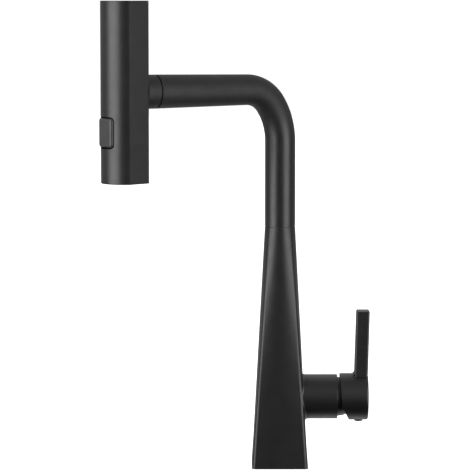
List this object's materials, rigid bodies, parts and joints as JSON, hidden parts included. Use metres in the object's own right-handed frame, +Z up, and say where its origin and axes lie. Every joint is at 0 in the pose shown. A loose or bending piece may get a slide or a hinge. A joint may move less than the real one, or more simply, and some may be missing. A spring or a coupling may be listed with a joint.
{
  "type": "kitchen faucet",
  "caption": "Kitchen mixer faucet with a tapered square body, an L-shaped swivel spout, a tall pull-out spray head docked on the arm, and a side lever.",
  "frame": {"origin": "centre of the base where it meets the deck", "axes": "+Z up, +X towards the lever, -Y towards the person at the sink; at rest the spout points 60 degrees off the front, away from the lever"},
  "size_m": [0.2512, 0.1314, 0.5028],
  "materials": {
    "black_coat": "fine matt powder coat",
    "black_plastic": "moulded, matt",
    "grey_rubber": "moulded silicone",
    "grey_plastic": "moulded",
    "black_rubber": "moulded",
    "steel": "brushed",
    "brass": "machined",
    "white_plastic": "moulded",
    "ceramic": "polished alumina",
    "hose_sleeve": "braided nylon sleeve"
  },
  "bodies": {
    "body": {"body_shell": "black_coat", "base_gasket": "black_rubber", "swivel_limit_screw": "steel", "mounting_shank": "brass", "deck_washer_rubber": "black_rubber", "deck_washer_steel": "steel", "mounting_nut": "brass", "swivel_bush_lower": "white_plastic", "swivel_bush_upper": "white_plastic", "swivel_thrust_washer": "black_plastic", "water_block": "brass", "cartridge_base_seals": "black_rubber", "cartridge_base": "white_plastic", "cartridge_body": "white_plastic", "fixed_ceramic_disc": "ceramic", "cartridge_nut": "brass", "cartridge_cover": "black_coat"},
    "spout": {"spout_tube": "black_coat", "spout_insert": "brass", "spout_retaining_ring": "steel", "spout_o_rings": "black_rubber", "dock_bush": "black_plastic", "dock_magnet_ring": "steel", "hose_riser": "hose_sleeve"},
    "spray_head": {"spray_hose": "hose_sleeve", "hose_connector": "brass", "head_neck": "black_coat", "neck_steel_ring": "steel", "head_front_shell": "black_coat", "head_rear_shell": "black_coat", "head_top_cap": "black_coat", "button_bezel": "black_plastic", "diverter_housing": "white_plastic", "head_waterway": "white_plastic", "head_screws": "steel", "check_valve": "white_plastic", "spray_chamber": "white_plastic", "spray_faceplate": "black_plastic", "spray_nozzles": "grey_rubber", "aerator_insert": "grey_plastic", "button_spring": "steel"},
    "mode_button": {"mode_button": "black_plastic", "diverter_spool": "white_plastic"},
    "rotor": {"cartridge_rotor": "white_plastic", "stem_pin": "steel"},
    "disc_carriage": {"disc_carrier": "white_plastic", "moving_ceramic_disc": "ceramic"},
    "lever": {"lever_handle": "black_coat", "stem": "brass", "lever_set_screw": "steel", "lever_screw_plug": "black_plastic"}
  },
  "joints": [
    {"name": "spout_swivel", "type": "hinge", "parent": "body", "child": "spout", "pos_m": [0, 0, 0.2], "axis": [0, 0, 1], "range_deg": [-15, 135]},
    {"name": "head_pull", "type": "slide", "parent": "spout", "child": "spray_head", "axis": [-0.866, -0.5, 0], "range_m": [0, 0.45]},
    {"name": "mode_button_press", "type": "slide", "parent": "spray_head", "child": "mode_button", "axis": [0.866, 0.5, 0], "range_m": [0, 0.002], "stiffness_N_per_m": 400, "springref_m": -0.002, "deforming": ["button_spring"]},
    {"name": "temperature_turn", "type": "hinge", "parent": "body", "child": "rotor", "pos_m": [0.055, 0, 0.0654], "axis": [1, 0, 0], "range_deg": [-50, 50]},
    {"name": "lever_tilt", "type": "hinge", "parent": "rotor", "child": "lever", "pos_m": [0.055, 0, 0.0654], "axis": [0, 1, 0], "range_deg": [0, 22]},
    {"name": "disc_slide", "type": "slide", "parent": "rotor", "child": "disc_carriage", "axis": [0, 0, 1], "range_m": [0, 0.0054]}
  ],
  "couplings": [
    {"joint": "disc_slide", "follows": "lever_tilt", "m_per_rad": 0.014}
  ]
}
